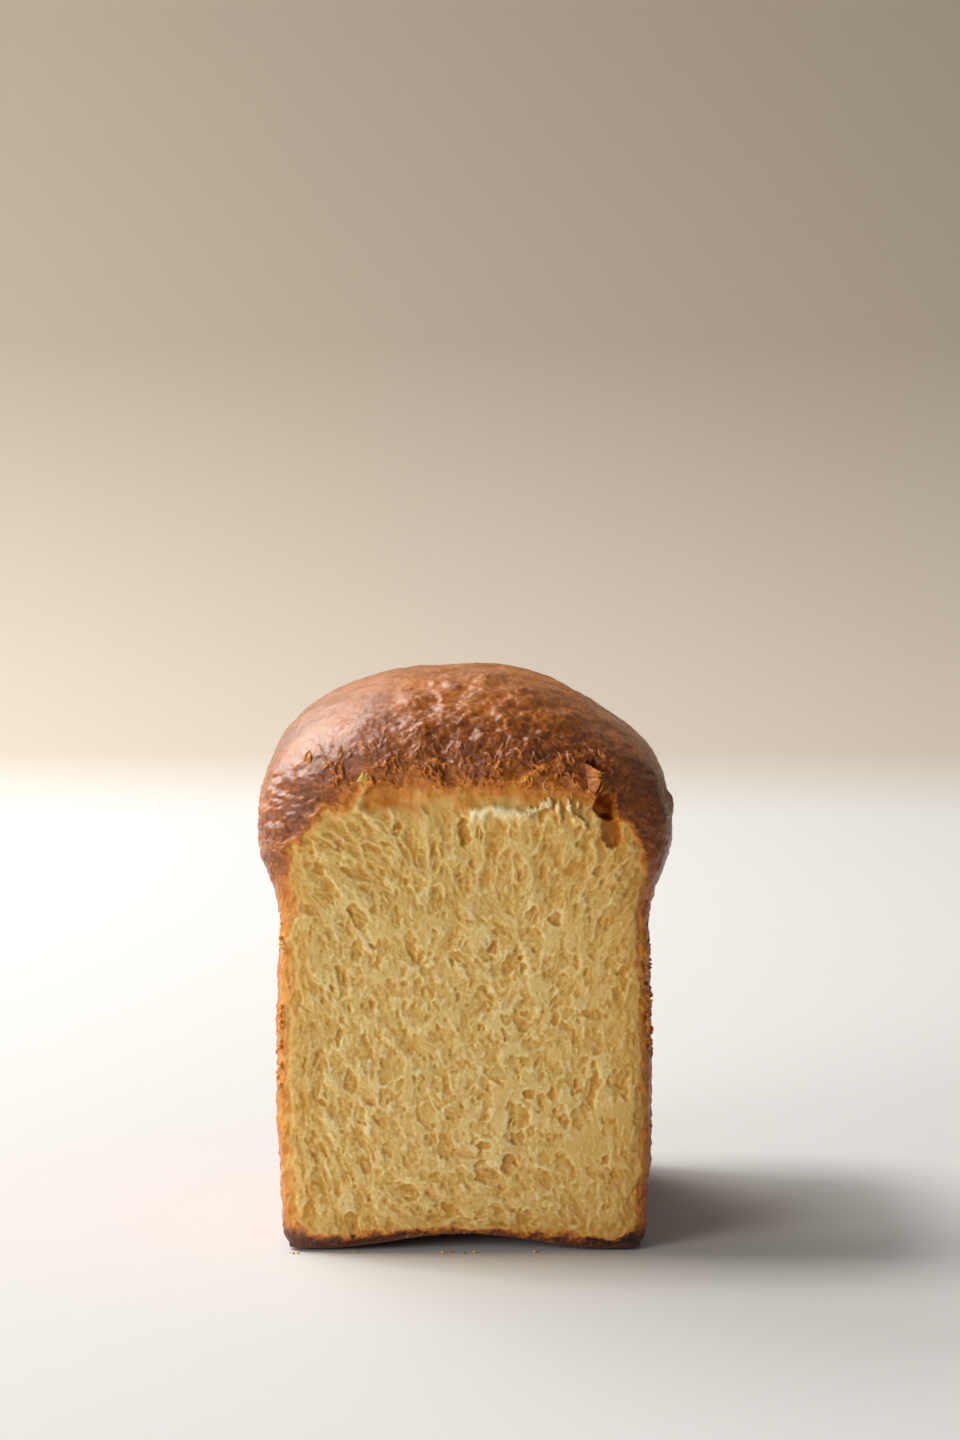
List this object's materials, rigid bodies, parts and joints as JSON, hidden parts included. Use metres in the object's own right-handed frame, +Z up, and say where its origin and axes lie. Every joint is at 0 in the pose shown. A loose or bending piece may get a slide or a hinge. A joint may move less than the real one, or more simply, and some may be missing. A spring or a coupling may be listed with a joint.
{
  "type": "torn brioche loaf half",
  "caption": "Half of a tall brioche loaf torn from a tin loaf: pale stringy crumb on the torn face, a browned domed crust over the rest.",
  "frame": {"origin": "on the resting plane, under the middle of the loaf's box", "axes": "+Z up through the dome, -Y out of the torn crumb face, +X to the right of someone who looks at the torn face"},
  "size_m": [0.1088, 0.1182, 0.1488],
  "materials": {
    "bread": "baked brioche: satin brown crust, and matt pale yellow crumb on the torn face"
  },
  "bodies": {
    "root": {"brioche": "bread"}
  },
  "joints": []
}
